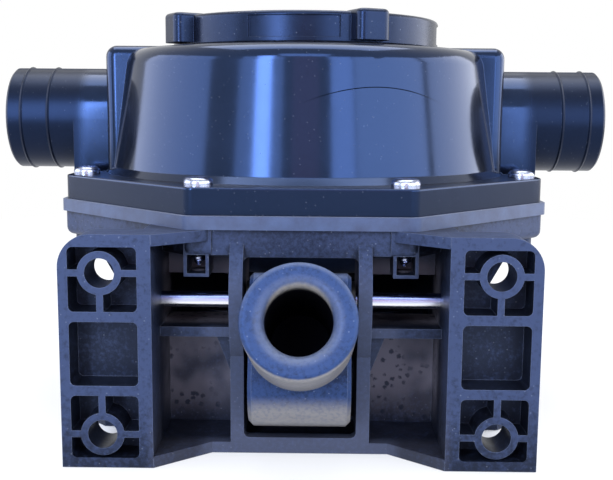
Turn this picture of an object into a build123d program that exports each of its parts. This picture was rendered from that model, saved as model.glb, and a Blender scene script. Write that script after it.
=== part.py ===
from build123d import *
import math
import os

# Manual diaphragm pump with a bulkhead bracket, in millimetres.
# X runs to the right, Y runs away from the viewer and Z runs up.
# The chamber stands on the axis X = 0, Y = 0, and Z = 0 is the underside of the bracket.
# The mounting ears face -Y. The pump is drawn with its handle socket up, which is the
# bottom of the diaphragm's stroke.

# Driving sizes of the clamped stack
bracket_height = 71.3
diaphragm_rim_thick = 4.2
flange_thick = 8.6
flange_across = 169.4
flange_corner_r = 4.0
rim_overhang = 1.6
octagon_side_count = 8
running_gap = 0.05
free_gap = 0.5
overrun = 2.0
edge_round = 0.6

# Bracket
bracket_lip = 1.0
bracket_rim_drop = 8.6
bracket_rim_wall = 3.0
bracket_rim_round = 2.6
deck_thick = 3.5
front_set_back = 0.2
well_inset = 21.7
well_wall = 2.6
base_thick = 3.5
base_side = 9.0
base_back_inset = 11.0
base_corner = 22.0
base_ring = 21.0
base_bar_half = 7.0
base_front_inset = 2.0
base_front_cut = 5.0

# Mounting ears
ear_stand_off = 13.5
ear_outward = 12.4
ear_inward = 15.2
ear_inner_wall = 4.2
ear_outer_wall = 3.0
ear_top_wall = 3.8
ear_bottom_wall = 3.1
ear_rib = 3.1
ear_rib_above_hole = 11.9
ear_rib_below_hole = 14.75
ear_depth = 13.0
ear_skin = 2.6
ear_corner_r = 10.0
pocket_corner_r = 1.6
hole_half_pitch = 59.2
hole_low = 10.5
hole_drop = 11.55
hole_r = 4.4
boss_r = 6.6
spoke = 2.1

# Front frame with the lever slot, its two cheeks and the side bays
recess_half = 27.6
slot_gap = 1.2
slot_low = 5.1
slot_corner_r = 1.8
cheek_thick = 4.2
cheek_past_panel = 3.5
cheek_bulge_r = 30.0
cheek_bulge_proud = 5.8
cheek_bulge_rise = 0.9
bay_depth = 21.0
panel_thick = 2.4
ledge_below_pivot = 7.9
ledge_thick = 3.1
ledge_set_back = 1.4
window_drop = 17.3
gusset_width = 4.9
gusset_height = 12.6
gusset_thick = 2.0
gusset_set_back = 3.0
screw_box_width = 7.8
screw_box_drop = 14.8
screw_box_wall = 1.0
screw_box_depth = 13.0
back_rib_thick = 2.6
back_rib_drop = 45.3
back_rib_angles = (-14.0, 22.0, 55.0, 90.0, 125.0, 158.0, 194.0)

# Flange screws
screw_inset = 7.28
screw_count = 8
screw_r = 2.0
screw_length = 25.0
screw_head_r = 4.65
screw_head_height = 2.7
screw_head_round = 1.7
screw_recess_width = 1.1
screw_recess_length = 4.6
screw_recess_depth = 1.2
screw_tip = 2.2
screw_boss_r = 4.4

# Chamber
dome_inset = 10.2
dome_taper = 6.0
roof_gap = 0.9
dome_shoulder_r = 6.5
dome_foot_r = 2.0
dome_wall = 3.4
chest_proud = 3.9
chest_side_gap = 6.8
chest_rise = 1.0
chest_round = 4.0
chest_wall = 3.0
chest_floor = 3.0
partition_inset = 11.5
partition_thick = 3.0
port_reach = 13.6
tail_r = 19.0
tail_wall = 3.2
tail_reach = 25.3
tail_gap = 0.5
tail_end_round = 0.8
ridge_spacing = 10.0
ridge_from_end = 5.7
ridge_proud = 0.5
ridge_half_width = 0.6
opening_inset = 28.5
collar_width = 6.5
collar_height = 0.6
notch_depth = 3.2
notch_half_angle = 9.0

# Inspection cover with its seal
cover_lip = 3.9
cover_gap = 0.4
cover_thick = 10.1
cover_round = 1.5
cover_skin = 3.6
cover_spigot_gap = 0.4
cover_spigot_wall = 3.6
cover_spigot_reach = 10.4
cover_lug_thick = 2.2
cover_lug_half_angle = 7.0
cover_turn = 30.0
grip_angles = (-65.0, 32.0, 115.0, 212.0)
bayonet_angles = (-60.0, 60.0, 180.0)
grip_width = 12.0
grip_proud = 6.2
grip_inset = 6.0
grip_extra = 0.6
grip_round = 3.0
grip_top_round = 1.6
grip_foot_gap = 0.4
dish_offset = 29.0
dish_half_angle = 18.0
dish_depth = 0.9
dish_low = 1.4
dish_high = 8.6
cover_plinth_inset = 10.4
cover_plinth_sink = 0.8
seal_inset = 1.2
seal_side_gap = 0.9
seal_thick = 2.4

# Flap valves
seat_wall = 3.0
seat_floor_gap = 0.3
seat_lip_proud = 1.7
seat_lip = 1.0
seat_bar = 2.4
flap_cover = 2.7
flap_thick = 2.4
flap_gap = 0.1
flap_knuckle_r = 2.1
flap_knuckle_half = 7.0
flap_hinge_gap = 2.4
flap_pin_r = 1.25
flap_pin_end = 0.7
flap_ear_thick = 3.0
flap_ear_gap = 0.3
flap_ear_r = 3.0

# Lever: the socket's axis leans up towards the viewer
socket_lean = 22.5
socket_wall = 6.95
socket_reach = 43.5
socket_rise = 3.4
socket_bore_r = 9.5
socket_bore_depth = 47.0
socket_mouth_round = 2.8
socket_edge_round = 1.6
lever_shaft_gap = 0.3
block_side_gap = 2.3
block_face = 26.0
block_back = 55.0
block_top = 19.4
block_floor_gap = 3.49
block_front_round = 14.0
block_back_round = 9.0
block_top_round = 3.0
block_side_round = 1.2
pivot_set_back = 6.5
pivot_drop = 23.1
shaft_r = 2.5
shaft_end = 3.2
shaft_clip_width = 2.1
shaft_clip_thick = 0.8
shaft_groove_depth = 0.5
shaft_clip_gap = 0.3
shaft_clip_grip = 0.6
bush_wall = 1.2
bush_length = 9.0
bush_flange_proud = 2.3
bush_side_gap = 0.6
arm_tilt = 16.0
arm_side_gap = 0.5
arm_half_height = 6.0
arm_eye_wall = 4.4
arm_neck = 9.4
arm_slot_gap = 0.6
arm_slot_spare = 1.86
arm_end_wall = 5.0

# Diaphragm with its clamp plates and drive
sheet_thick = 2.5
sheet_hub_margin = 5.0
sheet_roll_gap = 2.8
sheet_round = 5.0
sheet_rim_gap = 4.5
plate_step = 2.0
plate_inset = 25.0
plate_thick = 4.0
plate_round = 1.2
hub_gap = 3.95
pin_r = 4.0
pin_end = 2.9
pin_clip_width = 2.4
pin_clip_thick = 0.9
pin_groove_depth = 0.7
pin_clip_gap = 0.3
pin_clip_grip = 1.4
nut_side_gap = 1.0
yoke_thick = 4.6
yoke_eye_wall = 4.0
yoke_root_half = 14.0
bolt_r = 4.0
bolt_head_width = 13.0
bolt_head_height = 5.3
washer_r = 9.0
washer_thick = 1.6
nut_width = 13.0
nut_height = 6.5
bolt_past_nut = 0.5

# Heights that follow from the driving sizes
rim_low = bracket_height
rim_high = rim_low + diaphragm_rim_thick
flange_top = rim_high + flange_thick
deck_low = bracket_height - deck_thick
slot_high = bracket_height - bracket_rim_drop
window_top = bracket_height - window_drop
screw_box_low = bracket_height - screw_box_drop
back_rib_low = bracket_height - back_rib_drop
hole_high = bracket_height - hole_drop
ear_rib_low = hole_low + ear_rib_above_hole
ear_rib_high = hole_high - ear_rib_below_hole
pivot_z = bracket_height - pivot_drop
ledge_top = pivot_z - ledge_below_pivot
cheek_bulge_z = pivot_z + cheek_bulge_rise

# Plan sizes that follow from the flange's width
flange_half = flange_across / 2
bracket_across = flange_across + bracket_lip
well_r = flange_half - well_inset
base_half = well_r + base_side
base_back = well_r - base_back_inset
base_front = well_r - base_front_inset
base_open_r = well_r - base_ring
front_plane = flange_half - front_set_back
ear_face = front_plane + ear_stand_off
ear_outer = hole_half_pitch + ear_outward
ear_inner = hole_half_pitch - ear_inward
panel_plane = front_plane - bay_depth
cheek_back = panel_plane - cheek_past_panel
first_screw_angle = 360 / octagon_side_count / 2
screw_circle_r = flange_half / math.cos(math.radians(first_screw_angle)) - screw_inset

# Sizes that follow in the chamber, its tails and its valves
dome_base_r = flange_half - dome_inset
dome_top_r = dome_base_r - dome_taper
chest_half_x = dome_top_r + chest_proud
partition_inner = dome_top_r - partition_inset
port_half_x = chest_half_x + port_reach
tail_bore_r = tail_r - tail_wall
tail_end = port_half_x + tail_reach
ridge_outer = tail_end - ridge_from_end
ridge_inner = ridge_outer - ridge_spacing
tail_z = flange_top + tail_r + tail_gap
floor_z = flange_top + chest_floor
seat_lip_r = tail_z - floor_z - seat_floor_gap
seat_r = seat_lip_r - seat_lip_proud
seat_bore_r = seat_r - seat_wall
chest_half_y = seat_lip_r + chest_wall + chest_side_gap
flap_r = seat_bore_r + flap_cover
flap_pin_z = tail_z + seat_lip_r + flap_hinge_gap
flap_pin_half = flap_knuckle_half + flap_ear_gap + flap_ear_thick + flap_pin_end
dome_top = flap_pin_z + flap_ear_r + chest_wall + roof_gap
room_top = dome_top - chest_wall
chest_top = dome_top + chest_rise
inlet_face = chest_half_x - chest_wall
outlet_face = partition_inner + partition_thick

# Sizes that follow in the cover
opening_r = dome_top_r - opening_inset
collar_r = opening_r + collar_width
cover_r = collar_r + cover_lip
cover_z = chest_top + cover_gap
cover_plinth_r = cover_r - cover_plinth_inset
seal_inner_r = opening_r + seal_inset
seal_outer_r = collar_r - seal_side_gap

# Sizes that follow in the lever, its shaft and the diaphragm's drive
lean = math.radians(socket_lean)
tilt = math.radians(arm_tilt)
shaft_hole_r = shaft_r + running_gap
shaft_half = ear_inner + ear_inner_wall + shaft_end
shaft_clip_r = shaft_r + shaft_clip_width
shaft_groove_r = shaft_r - shaft_groove_depth
shaft_clip_mouth = 2 * shaft_groove_r - shaft_clip_grip
socket_r = socket_bore_r + socket_wall
slot_half = socket_r + slot_gap
block_half = slot_half - block_side_gap
bush_r = shaft_r + bush_wall
bush_flange_r = bush_r + bush_flange_proud
bush_flange_thick = block_side_gap - bush_side_gap
pivot_back = front_plane - pivot_set_back
socket_mouth = pivot_back + socket_reach
socket_mouth_z = pivot_z + socket_rise
block_bottom_z = base_thick + block_floor_gap
block_bottom = (socket_mouth_z - block_back * math.sin(lean) - block_bottom_z) / math.cos(lean)
pin_z = pivot_z - pivot_back * math.tan(tilt)
yoke_inner = nut_width / 2 + nut_side_gap
yoke_eye_r = pin_r + yoke_eye_wall
pin_half = yoke_inner + yoke_thick + pin_end
pin_clip_r = pin_r + pin_clip_width
pin_groove_r = pin_r - pin_groove_depth
pin_clip_mouth = 2 * pin_groove_r - pin_clip_grip
arm_half_width = yoke_inner - arm_side_gap
arm_eye_half = pin_r + arm_slot_gap + arm_eye_wall
arm_slot_near = pivot_back - pin_r - arm_slot_gap
arm_slot_far = pivot_back / math.cos(tilt) + pin_r + arm_slot_gap + arm_slot_spare
arm_eye_start = arm_slot_near - arm_neck
bolt_below_sheet = sheet_thick / 2 + plate_thick + nut_height + bolt_past_nut
sheet_z = pin_z + arm_eye_half + hub_gap + bolt_below_sheet
top_plate_r = well_r - plate_inset
plate_r = top_plate_r - plate_step
sheet_hub_r = top_plate_r + sheet_hub_margin
sheet_roll_r = well_r - sheet_roll_gap
sheet_rim_inner_r = well_r - sheet_rim_gap
screw_hole_r = screw_r + running_gap


def block(x0, x1, y0, y1, z0, z1):
    """A box between two corners."""
    size = (x1 - x0, y1 - y0, z1 - z0)
    centre = ((x0 + x1) / 2, (y0 + y1) / 2, (z0 + z1) / 2)
    return Pos(*centre) * Box(*size)


def both_sides(shape):
    """The shape and its mirror image across the middle plane."""
    return shape + mirror(shape, about=Plane.YZ)


def upright(radius, z0, z1, x=0, y=0):
    """A vertical cylinder between two heights."""
    return Pos(x, y, (z0 + z1) / 2) * Cylinder(radius, z1 - z0)


def crosswise(radius, x0, x1, y, z):
    """A cylinder along X between two places."""
    return Pos((x0 + x1) / 2, y, z) * Rot(0, 90, 0) * Cylinder(radius, x1 - x0)


def along_depth(radius, y0, y1, x, z):
    """A cylinder along Y between two places."""
    return Pos(x, (y0 + y1) / 2, z) * Rot(90, 0, 0) * Cylinder(radius, y1 - y0)


def octagon(across, corner_r, z0, z1):
    """An upright octagonal slab with flats facing the axes and rounded corners."""
    apothem = across / 2
    corner = apothem / math.cos(math.pi / octagon_side_count)
    outline = RegularPolygon(corner, octagon_side_count, rotation=first_screw_angle)
    outline = fillet(outline.vertices(), corner_r)
    return Pos(0, 0, z0) * extrude(outline, z1 - z0)


def side_slab(points, x0, x1):
    """A slab whose outline is given as (Y, Z) points and that runs along X."""
    outline = make_face(Polyline(*[(y, z) for y, z in points], close=True))
    return Pos(x0, 0, 0) * extrude(Plane.YZ * outline, x1 - x0)


def plan_slab(points, z0, z1):
    """A slab whose outline is given as (X, Y) points and that runs along Z."""
    outline = make_face(Polyline(*points, close=True))
    return Pos(0, 0, z0) * extrude(outline, z1 - z0)


def lever_point(along, across):
    """The (Y, Z) place of a point measured from the socket's mouth along and across its axis."""
    y = -socket_mouth - along * math.cos(lean) + across * math.sin(lean)
    z = socket_mouth_z + along * math.sin(lean) + across * math.cos(lean)
    return y, z


def arm_point(along, across):
    """The (Y, Z) place of a point measured from the pivot along and across the lever's arm."""
    y = -pivot_back + along * math.cos(tilt) + across * math.sin(tilt)
    z = pivot_z - along * math.sin(tilt) + across * math.cos(tilt)
    return y, z


def screw_places():
    """The (X, Y) places of the flange screws, one at each corner of the octagon."""
    places = []
    for index in range(screw_count):
        angle = math.radians(first_screw_angle + index * 360 / screw_count)
        places.append((screw_circle_r * math.cos(angle), screw_circle_r * math.sin(angle)))
    return places


def drill_screws(shape, radius, z0, z1):
    """The shape with a hole for each flange screw."""
    for x, y in screw_places():
        shape -= upright(radius, z0, z1, x, y)
    return shape


def clip_ring(radius, inner_r, mouth, x0, x1, y, z):
    """A flat open clip that sits in a groove of a crosswise pin."""
    ring = crosswise(radius, x0, x1, y, z) - crosswise(inner_r, x0 - overrun, x1 + overrun, y, z)
    return ring - block(x0 - overrun, x1 + overrun, y - mouth / 2, y + mouth / 2, z - radius - overrun, z)


# Bracket

def ear():
    """One mounting ear: an open frame with three pockets and two braced hole bosses."""
    front = -ear_face
    back = front + ear_depth
    centre_x = (ear_inner + ear_outer) / 2
    outline = Rectangle(ear_outer - ear_inner, bracket_height)
    corner = outline.vertices().sort_by(Axis.X)[-2:].sort_by(Axis.Y)[-1]
    outline = fillet(corner, ear_corner_r)
    slab = extrude(Plane.XZ * Pos(centre_x, bracket_height / 2) * outline, ear_depth)
    body = Pos(0, back, 0) * slab
    pocket_x0 = ear_inner + ear_inner_wall
    pocket_x1 = ear_outer - ear_outer_wall
    rows = ((ear_bottom_wall, ear_rib_low), (ear_rib_low + ear_rib, ear_rib_high),
            (ear_rib_high + ear_rib, bracket_height - ear_top_wall))
    for z0, z1 in rows:
        opening = Rectangle(pocket_x1 - pocket_x0, z1 - z0)
        opening = fillet(opening.vertices(), pocket_corner_r)
        place = Plane.XZ * Pos((pocket_x0 + pocket_x1) / 2, (z0 + z1) / 2)
        body -= Pos(0, back - ear_skin, 0) * extrude(place * opening, ear_depth)
    inside = back - ear_skin / 2
    for z, toward in ((hole_low, 1), (hole_high, -1)):
        body += along_depth(boss_r, front, inside, hole_half_pitch, z)
        body += block(pocket_x0, pocket_x1, front, inside, z - spoke / 2, z + spoke / 2)
        stem = (ear_rib_low if toward > 0 else ear_rib_high + ear_rib)
        low, high = min(z, stem), max(z, stem)
        body += block(hole_half_pitch - spoke / 2, hole_half_pitch + spoke / 2, front, inside, low, high)
    for z in (hole_low, hole_high):
        body -= along_depth(hole_r, front - overrun, back + overrun, hole_half_pitch, z)
    return body


def deck():
    """The octagonal deck with its turned-down rim, which the diaphragm's rim lies on."""
    rim_bottom = bracket_height - bracket_rim_drop
    slab = octagon(bracket_across, flange_corner_r, rim_bottom, bracket_height)
    low_edges = slab.edges().group_by(Axis.Z)[0]
    slab = fillet(low_edges, bracket_rim_round)
    inner = bracket_across - 2 * bracket_rim_wall
    slab -= octagon(inner, flange_corner_r, rim_bottom - overrun, deck_low)
    wing = ear_inner + ear_inner_wall
    outline = [(-wing, -ear_face), (-ear_inner, -ear_face), (-recess_half, -front_plane),
               (recess_half, -front_plane), (ear_inner, -ear_face), (wing, -ear_face),
               (wing, -well_r / 2), (-wing, -well_r / 2)]
    slab += plan_slab(outline, deck_low, bracket_height)
    front = -bracket_across / 2 - overrun
    slab -= block(-recess_half, recess_half, front, -front_plane, rim_bottom - overrun, bracket_height)
    return slab


def base():
    """The foot plate that ties the ears, the front frame and the well together."""
    wing = ear_inner + ear_inner_wall
    outline = [(-wing, -ear_face), (-ear_inner, -ear_face), (-recess_half, -front_plane),
               (recess_half, -front_plane), (ear_inner, -ear_face), (wing, -ear_face),
               (wing, -base_front), (base_half - base_front_cut, -base_front),
               (base_half, base_front_cut - base_front),
               (base_half, base_back - base_corner), (base_half - base_corner, base_back),
               (base_corner - base_half, base_back), (-base_half, base_back - base_corner),
               (-base_half, base_front_cut - base_front), (base_front_cut - base_half, -base_front),
               (-wing, -base_front)]
    return plan_slab(outline, 0, base_thick)


def front_frame():
    """The slotted front with two cheeks that swell forward around the lever's shaft."""
    inner = slot_half
    outer = slot_half + cheek_thick
    cheek = block(inner, outer, -front_plane, -cheek_back, 0, deck_low)
    bulge_centre = -front_plane - cheek_bulge_proud + cheek_bulge_r
    swell = crosswise(cheek_bulge_r, inner, outer, bulge_centre, cheek_bulge_z)
    swell &= block(inner, outer, -front_plane - cheek_bulge_proud, -front_plane + overrun, 0, deck_low)
    cheeks = both_sides(cheek + swell)
    opening = Rectangle(2 * inner, slot_high - slot_low)
    opening = fillet(opening.vertices(), slot_corner_r)
    place = Plane.XZ * Pos(0, (slot_low + slot_high) / 2) * opening
    plate = block(-outer, outer, -front_plane, -front_plane + cheek_thick, 0, bracket_height)
    plate -= Pos(0, overrun - front_plane + cheek_thick, 0) * extrude(place, 2 * overrun + cheek_thick)
    return cheeks + plate


def header():
    """The strip under the deck's front edge, across both side bays."""
    return block(-recess_half, recess_half, -front_plane, -front_plane + bracket_rim_wall,
                 bracket_height - bracket_rim_drop + edge_round, bracket_height)


def bay():
    """One side bay: its wall, panel, ledge, corner gusset and screw box."""
    wall_back = -well_r * math.cos(math.asin(ear_inner / well_r))
    wing = ear_inner + ear_inner_wall
    wall = block(ear_inner, wing, -ear_face, wall_back, 0, bracket_height)
    outer_cheek = slot_half + cheek_thick
    panel = block(outer_cheek, ear_inner, -panel_plane, -panel_plane + panel_thick, 0, deck_low)
    panel -= block(outer_cheek, ear_inner, -panel_plane - overrun, -panel_plane + panel_thick + overrun,
                   ledge_top, window_top)
    ledge_front = -front_plane + ledge_set_back
    ledge = block(outer_cheek, ear_inner, ledge_front, -panel_plane, ledge_top - ledge_thick, ledge_top)
    gusset_top = ledge_top - ledge_thick
    outline = [(outer_cheek, gusset_top), (outer_cheek + gusset_width, gusset_top),
               (outer_cheek, gusset_top - gusset_height)]
    gusset_face = make_face(Polyline(*outline, close=True))
    gusset_y = ledge_front + gusset_set_back
    gusset = Pos(0, gusset_y + gusset_thick, 0) * extrude(Plane.XZ * gusset_face, gusset_thick)
    screw_x = screw_circle_r * math.sin(math.radians(first_screw_angle))
    half = screw_box_width / 2
    box = block(screw_x - half, screw_x + half, -front_plane, -front_plane + screw_box_depth,
                screw_box_low, deck_low)
    return wall + panel + ledge + gusset + box


def screw_box_hollow():
    """The open inside of a front screw's box, where the screw's tip shows."""
    screw_x = screw_circle_r * math.sin(math.radians(first_screw_angle))
    half = screw_box_width / 2 - screw_box_wall
    return block(screw_x - half, screw_x + half, -front_plane - overrun,
                 -front_plane + screw_box_depth - screw_box_wall,
                 screw_box_low + screw_box_wall, bracket_height - bracket_rim_drop + edge_round)


def well():
    """The round well under the diaphragm, with ribs out to the deck's rim."""
    outer = well_r + well_wall
    tube = upright(outer, 0, deck_low)
    reach = bracket_across / 2 - bracket_rim_wall / 2
    for angle in back_rib_angles:
        points = [(well_r + well_wall / 2, back_rib_low), (reach, bracket_height - bracket_rim_drop),
                  (reach, deck_low + deck_thick / 2), (well_r + well_wall / 2, deck_low + deck_thick / 2)]
        outline = make_face(Polyline(*points, close=True))
        rib = extrude(Plane.XZ * outline, back_rib_thick / 2, both=True)
        tube += Rot(0, 0, angle) * rib
    return tube


def whole_bracket():
    """The whole moulding: ears, deck, front frame, bays, well and foot plate."""
    body = deck() + base() + well()
    for x, y in screw_places():
        if y > -screw_circle_r / 2:
            body += upright(screw_boss_r, screw_box_low, deck_low, x, y)
    body -= upright(well_r, base_thick, bracket_height + overrun)
    opening = upright(base_open_r, -overrun, base_thick + overrun)
    body -= opening - block(-base_bar_half, base_bar_half, -base_open_r, base_open_r, -overrun, base_thick + overrun)
    body += both_sides(ear() + bay())
    body += header()
    outer = slot_half + cheek_thick
    body -= block(-outer, outer, -front_plane - overrun, -cheek_back, slot_low, slot_high)
    body -= block(-slot_half, slot_half, -front_plane - overrun, -well_r / 2, slot_low, slot_high)
    body += front_frame()
    window = block(outer, ear_inner, -panel_plane - overrun, -well_r / 2, ledge_top, window_top)
    body -= both_sides(window)
    body -= both_sides(screw_box_hollow())
    body = drill_screws(body, screw_hole_r, screw_box_low - overrun, bracket_height + overrun)
    body -= crosswise(shaft_hole_r, -shaft_half, shaft_half, -pivot_back, pivot_z)
    return body


def bracket_sections():
    """The moulding in eight sections that meet face to face along its own walls."""
    body = whole_bracket()
    far = bracket_across
    outer = slot_half + cheek_thick
    wing = ear_inner + ear_inner_wall
    ear_zone = block(ear_inner, far, -far, ear_depth - ear_face, -overrun, far)
    foot_zone = block(-far, far, -far, far, -overrun, base_thick)
    front_zone = block(-outer, outer, -far, -cheek_back, base_thick, deck_low)
    upper_zone = block(-far, far, -far, far, screw_box_low, deck_low)
    upper_zone -= upright(well_r + well_wall, screw_box_low - overrun, deck_low + overrun)
    upper_zone += block(-far, far, -far, far, deck_low, far)
    bay_zone = block(0, wing, -far, panel_thick - panel_plane, base_thick, screw_box_low)
    sections = {"bracket_ear_right": body & ear_zone}
    sections["bracket_ear_left"] = mirror(sections["bracket_ear_right"], about=Plane.YZ)
    rest = body - both_sides(ear_zone)
    sections["bracket_foot"] = rest & foot_zone
    rest -= foot_zone
    sections["bracket_front"] = rest & front_zone
    rest -= front_zone
    sections["bracket_deck"] = rest & upper_zone
    rest -= upper_zone
    sections["bracket_bay_right"] = rest & bay_zone
    sections["bracket_bay_left"] = mirror(sections["bracket_bay_right"], about=Plane.YZ)
    sections["bracket_well"] = rest - both_sides(bay_zone)
    return sections


# Chamber

def dome_outside():
    """The round shell's outside, with its foot and shoulder rounded."""
    outline = Polyline((0, flange_top), (dome_base_r, flange_top), (dome_top_r, dome_top), (0, dome_top),
                       close=True)
    face = make_face(outline)
    shoulder = face.vertices().sort_by_distance((dome_top_r, dome_top))[0]
    face = fillet(shoulder, dome_shoulder_r)
    shell = revolve(Plane.XZ * face, Axis.Z)
    foot = Polyline((dome_base_r - dome_foot_r, flange_top), (dome_base_r + dome_foot_r, flange_top),
                    (dome_base_r - dome_foot_r, flange_top + 2 * dome_foot_r), close=True)
    return shell + revolve(Plane.XZ * make_face(foot), Axis.Z)


def chest():
    """One valve chest: a rounded box on the side of the dome."""
    box = block(chest_half_x / 2, chest_half_x, -chest_half_y, chest_half_y, flange_top, chest_top)
    outer_upright = box.edges().filter_by(Axis.Z).group_by(Axis.X)[-1]
    top_edges = box.faces().sort_by(Axis.Z)[-1].edges().filter_by_position(
        Axis.X, chest_half_x / 2 + overrun, chest_half_x + overrun)
    return fillet(outer_upright + top_edges, chest_round)


def tail():
    """One hose tail with its two fine ridges and the block that carries it."""
    points = [(chest_half_x / 2, 0), (chest_half_x / 2, tail_r)]
    for place in (ridge_inner, ridge_outer):
        points += [(place - ridge_half_width, tail_r), (place, tail_r + ridge_proud),
                   (place + ridge_half_width, tail_r)]
    points += [(tail_end - tail_end_round, tail_r), (tail_end, tail_r - tail_end_round), (tail_end, 0)]
    face = make_face(Polyline(*points, close=True))
    spigot = Pos(0, 0, tail_z) * revolve(Plane.XZ * face, Axis.X)
    return spigot + block(chest_half_x / 2, port_half_x, -tail_r, tail_r, flange_top, tail_z)


def dome_inside(z0):
    """The space inside the dome between its walls."""
    inset = dome_wall
    outline = Polyline((0, z0), (dome_base_r - inset, z0), (dome_base_r - inset, flange_top),
                       (dome_top_r - inset, dome_top - inset), (0, dome_top - inset), close=True)
    face = make_face(outline)
    shoulder = face.vertices().sort_by_distance((dome_top_r - inset, dome_top - inset))[0]
    return revolve(Plane.XZ * fillet(shoulder, dome_shoulder_r - inset), Axis.Z)


def duct(start):
    """The passage from a valve out through its hose tail."""
    end = port_half_x - chest_wall
    passage = block(start, end, -tail_bore_r, tail_bore_r, floor_z, tail_z)
    return passage + crosswise(tail_bore_r, start, tail_end + overrun, 0, tail_z)


def chest_space(start):
    """The space inside a chest, between a given place and the chest's outer wall."""
    half_y = chest_half_y - chest_wall
    return block(start, chest_half_x - chest_wall, -half_y, half_y, floor_z, room_top)


def outlet_room():
    """The space behind the outlet's partition, where its flap swings."""
    past = block(outlet_face, chest_half_x, -dome_base_r, dome_base_r, floor_z, dome_top)
    return (dome_inside(rim_high) & past) + chest_space(outlet_face) + duct(outlet_face)


def flap_ears(face_x, outward):
    """The two little ears that hold a flap's hinge pin."""
    centre_x = face_x + outward * (seat_lip + flap_gap + flap_thick / 2)
    ear_x = sorted((face_x - outward * edge_round, centre_x))
    inner = flap_knuckle_half + flap_ear_gap
    outer = inner + flap_ear_thick
    ear = block(ear_x[0], ear_x[1], inner, outer, flap_pin_z - flap_ear_r, flap_pin_z + flap_ear_r)
    ear += along_depth(flap_ear_r, inner, outer, centre_x, flap_pin_z)
    ear -= along_depth(flap_pin_r + running_gap, inner - overrun, outer + overrun, centre_x, flap_pin_z)
    return ear + mirror(ear, about=Plane.XZ)


def pump_chamber():
    """The glossy upper casing: flange, dome, valve chests, hose tails and cover collar."""
    body = octagon(flange_across, flange_corner_r, rim_high, flange_top)
    top_edges = body.edges().group_by(Axis.Z)[-1]
    body = fillet(top_edges, edge_round)
    body += dome_outside()
    body += both_sides(chest() + tail())
    body += upright(collar_r, dome_top - dome_wall, dome_top + collar_height)
    pumped = block(-dome_base_r, partition_inner, -dome_base_r, dome_base_r, rim_high - overrun, dome_top)
    body -= dome_inside(rim_high - overrun) & pumped
    body -= upright(dome_base_r - dome_wall, rim_high - overrun, flange_top)
    body -= outlet_room()
    body -= mirror(chest_space(partition_inner) + duct(chest_half_x), about=Plane.YZ)
    body -= upright(collar_r, dome_top + collar_height, chest_top + overrun)
    body -= upright(opening_r, dome_top - dome_wall - overrun, dome_top + collar_height + overrun)
    for angle in bayonet_angles:
        body -= bayonet_notch(angle + cover_turn)
    port_r = seat_r + running_gap
    body -= crosswise(port_r, partition_inner - overrun, outlet_face + overrun, 0, tail_z)
    body -= crosswise(port_r, -chest_half_x - overrun, -inlet_face + overrun, 0, tail_z)
    body += mirror(flap_ears(inlet_face, -1), about=Plane.YZ)
    body += flap_ears(outlet_face, 1)
    return drill_screws(body, screw_hole_r, rim_high - overrun, flange_top + overrun)


def ring_sector(inner_r, outer_r, half_angle, z0, z1):
    """A piece of a ring around the chamber's axis, centred on +X."""
    spread = 2 * outer_r * math.tan(math.radians(half_angle))
    wedge = plan_slab([(0, 0), (2 * outer_r, -spread), (2 * outer_r, spread)], z0, z1)
    return (upright(outer_r, z0, z1) - upright(inner_r, z0 - overrun, z1 + overrun)) & wedge


def bayonet_notch(angle):
    """The notch in the opening's edge that lets a cover lug pass."""
    notch = ring_sector(opening_r - overrun, opening_r + notch_depth, notch_half_angle,
                        dome_top - dome_wall - overrun, dome_top + collar_height + overrun)
    return Rot(0, 0, angle) * notch


def inspection_cover():
    """The twist-off cover: a thick disc with four grip lugs and a spigot with bayonet lugs."""
    top = cover_z + cover_thick
    outline = Polyline((0, cover_z), (cover_r, cover_z), (cover_r, top), (0, top), close=True)
    face = make_face(outline)
    edge = face.vertices().sort_by_distance((cover_r, top))[0]
    body = revolve(Plane.XZ * fillet(edge, cover_round), Axis.Z)
    spigot_r = opening_r - cover_spigot_gap
    for angle in grip_angles:
        body += Rot(0, 0, angle) * grip(top)
        dish = ring_sector(cover_r - dish_depth, cover_r + overrun, dish_half_angle,
                           cover_z + dish_low, cover_z + dish_high)
        body -= Rot(0, 0, angle - dish_offset) * dish
    body -= upright(cover_plinth_r, top - cover_plinth_sink, top + overrun)
    seat_low = dome_top + collar_height + seal_thick
    body -= (upright(seal_outer_r + free_gap, cover_z - overrun, seat_low)
             - upright(seal_inner_r - free_gap, cover_z - overrun * 2, seat_low + overrun))
    spigot_low = cover_z - cover_spigot_reach
    body += upright(spigot_r, spigot_low, cover_z + overrun)
    body -= upright(spigot_r - cover_spigot_wall, spigot_low - overrun, top - cover_skin)
    lug_top = dome_top - dome_wall - running_gap * 4
    for angle in bayonet_angles:
        lug = ring_sector(spigot_r - overrun / 2, opening_r + notch_depth - free_gap,
                          cover_lug_half_angle, lug_top - cover_lug_thick, lug_top)
        body += Rot(0, 0, angle) * lug
    return body


def grip(top):
    """One grip lug on the cover's rim, centred on +X."""
    reach = cover_r + grip_proud
    lug = block(cover_r - grip_inset, reach, -grip_width / 2, grip_width / 2,
                cover_z + grip_foot_gap, top + grip_extra)
    uprights = lug.edges().filter_by(Axis.Z).group_by(Axis.X)[-1]
    lug = fillet(uprights, grip_round)
    return fillet(lug.faces().sort_by(Axis.Z)[-1].edges(), grip_top_round)


def cover_seal():
    """The flat rubber ring between the collar and the cover."""
    low = dome_top + collar_height
    return upright(seal_outer_r, low, low + seal_thick) - upright(seal_inner_r, low - overrun,
                                                                  low + seal_thick + overrun)


# Valves

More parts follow.
